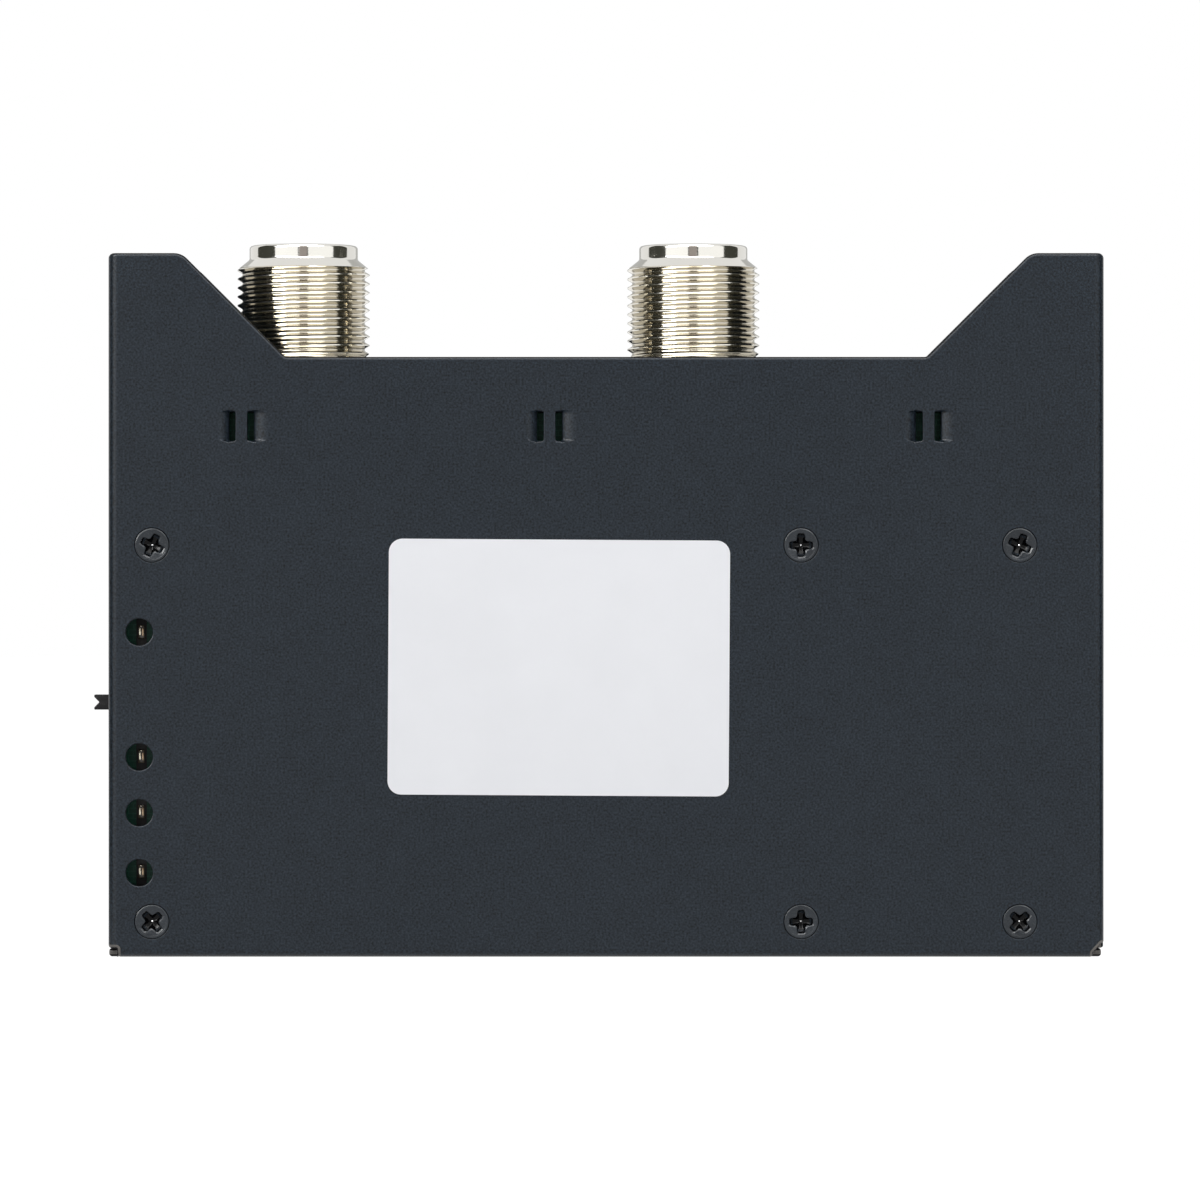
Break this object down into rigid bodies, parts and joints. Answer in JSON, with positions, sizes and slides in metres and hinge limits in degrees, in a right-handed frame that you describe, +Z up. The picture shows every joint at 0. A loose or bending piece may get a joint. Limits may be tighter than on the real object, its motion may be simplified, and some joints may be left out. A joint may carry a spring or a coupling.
{
  "type": "antenna analyzer",
  "caption": "Hand-held two-port antenna analyzer in a folded sheet-steel case with threaded coaxial ports between protective ears, a touch screen, side keys and a slide switch.",
  "frame": {"origin": "middle of the bottom face", "axes": "+Z up towards the coaxial ports, the screen faces -Y, the back panel faces +Y, +X is the side with the switch, keys and USB socket"},
  "size_m": [0.1203, 0.0241, 0.0853],
  "materials": {
    "case_paint": "fine-textured satin powder coat, dark blue-grey",
    "screw_black": "black oxide, semi-gloss",
    "label_white": "coated label stock, bare",
    "nickel": "bright nickel plate",
    "insulator_white": "white fluoropolymer",
    "contact_gold": "gold plate",
    "coax_tinned": "tinned copper",
    "board_green": "dark green solder mask",
    "spacer_brass": "tinned brass",
    "chip_black": "moulded package",
    "shield_tin": "folded nickel silver",
    "led_lens": "clear resin over gold leads",
    "drawn_steel": "drawn stainless steel",
    "contact_block": "moulded black polymer",
    "knob_black": "moulded black plastic",
    "foam_black": "closed-cell foam",
    "screen_glass": "touch glass over a dark panel",
    "lcd_black": "dark display module",
    "tray_aluminium": "mill finish",
    "screw_steel": "zinc plate",
    "flex_amber": "polyimide film",
    "pouch_silver": "laminate pouch",
    "socket_white": "moulded nylon",
    "wire_red": "silicone insulation"
  },
  "bodies": {
    "case": {"rear_shell": "case_paint", "front_cover": "case_paint", "connector_bracket": "case_paint", "case_screws": "screw_black", "side_screws": "screw_black", "rear_label": "label_white", "jack_nuts": "nickel", "jack_washers": "nickel", "main_board": "board_green", "board_spacers": "spacer_brass", "board_chips": "chip_black", "status_leds": "led_lens", "usb_socket_shell": "drawn_steel", "usb_socket_tongue": "contact_block", "switch_housing": "drawn_steel", "key_switch_bodies": "contact_block", "display_gasket": "foam_black", "touch_panel": "screen_glass", "lcd_panel": "lcd_black", "display_tray": "tray_aluminium", "tray_screws": "screw_steel", "display_flex": "flex_amber", "flex_socket": "contact_block", "battery": "pouch_silver", "battery_pad": "foam_black", "battery_socket": "socket_white", "battery_lead": "wire_red", "port_1_body": "nickel", "port_1_insulator": "insulator_white", "port_1_contact": "contact_gold", "port_1_jumper": "coax_tinned", "port_1_shield": "shield_tin", "port_2_body": "nickel", "port_2_insulator": "insulator_white", "port_2_contact": "contact_gold", "port_2_jumper": "coax_tinned", "port_2_shield": "shield_tin"},
    "power_knob": {"power_knob": "knob_black"},
    "left_key": {"left_key": "knob_black"},
    "enter_key": {"enter_key": "knob_black"},
    "right_key": {"right_key": "knob_black"}
  },
  "joints": [
    {"name": "power_slide", "type": "slide", "parent": "case", "child": "power_knob", "axis": [0, 0, 1], "range_m": [0, 0.002]},
    {"name": "left_key_press", "type": "slide", "parent": "case", "child": "left_key", "axis": [-1, 0, 0], "range_m": [0, 0.0003], "stiffness_N_per_m": 5000},
    {"name": "enter_key_press", "type": "slide", "parent": "case", "child": "enter_key", "axis": [-1, 0, 0], "range_m": [0, 0.0003], "stiffness_N_per_m": 5000},
    {"name": "right_key_press", "type": "slide", "parent": "case", "child": "right_key", "axis": [-1, 0, 0], "range_m": [0, 0.0003], "stiffness_N_per_m": 5000}
  ]
}
